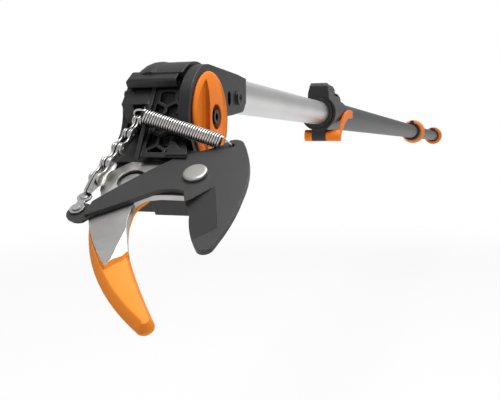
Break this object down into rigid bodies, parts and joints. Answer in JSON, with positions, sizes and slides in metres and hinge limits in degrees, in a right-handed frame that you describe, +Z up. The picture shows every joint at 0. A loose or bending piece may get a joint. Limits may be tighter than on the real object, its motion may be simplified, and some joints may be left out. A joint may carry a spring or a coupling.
{
  "type": "telescopic pole pruner",
  "caption": "Telescopic pole pruner with a chain-driven bypass cutting head that tilts on a knuckle, worked from a sliding pull handle on the pole",
  "frame": {"origin": "On the pole axis, in the middle of the rear grip zone of the outer tube", "axes": "+X along the pole toward the cutting head, +Y toward the tilt knob, +Z up with the knob's axis level"},
  "size_m": [2.4494, 0.1002, 0.1555],
  "materials": {
    "black_nylon": "glass-filled nylon, fine moulded grain",
    "orange_nylon": "orange moulded plastic, satin",
    "grey_paint": "dark grey powder coat",
    "anodised_alu": "drawn and anodised, satin",
    "ground_steel": "ground flat and polished at the edge",
    "coated_steel": "dark low-friction coating",
    "plated_steel": "nickel-plated",
    "strap_webbing": "woven polyester webbing"
  },
  "bodies": {
    "outer_pole": {"outer_tube": "grey_paint", "front_bush": "black_nylon", "clamp_collar": "black_nylon", "clamp_pin": "plated_steel", "end_plug": "black_nylon"},
    "clamp_lever": {"clamp_lever": "orange_nylon"},
    "slide_handle": {"handle_collar": "black_nylon", "handle_ring": "orange_nylon"},
    "end_ball": {"end_ball": "orange_nylon"},
    "inner_pole": {"inner_tube": "anodised_alu", "rear_bush": "black_nylon", "knuckle": "black_nylon", "socket_screw": "coated_steel"},
    "strap": {"pull_strap": "strap_webbing"},
    "knob": {"knob": "orange_nylon", "knob_screw": "coated_steel"},
    "head": {"tower": "black_nylon", "carrier": "black_nylon", "hook_plate": "ground_steel", "hook_sheath": "orange_nylon", "plate_rivet": "plated_steel", "pivot_rivet": "plated_steel"},
    "winch": {"drum_shaft": "plated_steel", "strap_drum": "black_nylon", "chain_drum": "plated_steel"},
    "blade": {"blade": "coated_steel", "lever_pin": "plated_steel"},
    "chain_tail": {"end_link": "plated_steel", "chain_end": "plated_steel", "chain_outer_c": "plated_steel", "chain_inner_c": "plated_steel", "chain_pins_c": "plated_steel"},
    "chain_mid": {"chain_outer_b": "plated_steel", "chain_inner_b": "plated_steel", "chain_pins_b": "plated_steel"},
    "chain_top": {"chain_outer_a": "plated_steel", "chain_inner_a": "plated_steel", "chain_pins_a": "plated_steel"},
    "spring": {"return_spring": "plated_steel"}
  },
  "joints": [
    {"name": "telescope", "type": "slide", "parent": "outer_pole", "child": "inner_pole", "axis": [1, 0, 0], "range_m": [0, 1.6]},
    {"name": "head_tilt", "type": "hinge", "parent": "inner_pole", "child": "head", "pos_m": [1.912, 0, -0.0188], "axis": [0, 1, 0], "range_deg": [-50, 110]},
    {"name": "blade_close", "type": "hinge", "parent": "head", "child": "blade", "pos_m": [1.96742, 0.0281, -0.05498], "axis": [-0.5878, 0, -0.809], "range_deg": [0, 62], "stiffness_Nm_per_rad": 0.6, "springref_deg": -20.05},
    {"name": "link_turn", "type": "hinge", "parent": "blade", "child": "chain_tail", "pos_m": [1.99161, -0.0318, -0.07256], "axis": [0.5878, 0, 0.809], "range_deg": [0, 56], "deforming": ["chain_outer_c", "chain_inner_c", "chain_pins_c", "chain_end", "end_link"]},
    {"name": "chain_mid_run", "type": "slide", "parent": "head", "child": "chain_mid", "axis": [-0.7376, 0.1551, 0.6571], "range_m": [0, 0.048], "deforming": ["chain_outer_b", "chain_inner_b", "chain_pins_b"]},
    {"name": "chain_top_run", "type": "slide", "parent": "head", "child": "chain_top", "axis": [-0.7376, 0.1551, 0.6571], "range_m": [0, 0.028], "deforming": ["chain_outer_a", "chain_inner_a", "chain_pins_a"]},
    {"name": "winch_turn", "type": "hinge", "parent": "head", "child": "winch", "pos_m": [1.912, 0, -0.0188], "axis": [0, -1, 0], "range_deg": [0, 240]},
    {"name": "spring_swing", "type": "hinge", "parent": "head", "child": "spring", "pos_m": [1.95067, -0.013, -0.01661], "axis": [-0.5878, 0, -0.809], "range_deg": [0, 20], "deforming": ["return_spring"]},
    {"name": "strap_run", "type": "slide", "parent": "inner_pole", "child": "strap", "axis": [-1, 0, 0], "range_m": [0, 0.08]},
    {"name": "handle_pull", "type": "slide", "parent": "outer_pole", "child": "slide_handle", "axis": [-1, 0, 0], "range_m": [0, 0.08]},
    {"name": "knob_turn", "type": "hinge", "parent": "inner_pole", "child": "knob", "pos_m": [1.912, 0, -0.0188], "axis": [0, 1, 0], "range_deg": [0, 90]},
    {"name": "clamp_open", "type": "hinge", "parent": "outer_pole", "child": "clamp_lever", "pos_m": [1.538, 0, -0.0252], "axis": [0, -1, 0], "range_deg": [0, 100]},
    {"name": "ball_pull", "type": "slide", "parent": "outer_pole", "child": "end_ball", "axis": [-1, 0, 0], "range_m": [0, 0.06]}
  ],
  "couplings": [
    {"joint": "link_turn", "follows": "blade_close", "ratio": 0.839},
    {"joint": "chain_mid_run", "follows": "blade_close", "m_per_rad": 0.04159},
    {"joint": "chain_top_run", "follows": "blade_close", "m_per_rad": 0.0231},
    {"joint": "winch_turn", "follows": "blade_close", "ratio": 3.7658},
    {"joint": "spring_swing", "follows": "blade_close", "ratio": 0.27},
    {"joint": "strap_run", "follows": "blade_close", "m_per_rad": 0.0708},
    {"joint": "handle_pull", "follows": "blade_close", "m_per_rad": 0.0708}
  ]
}
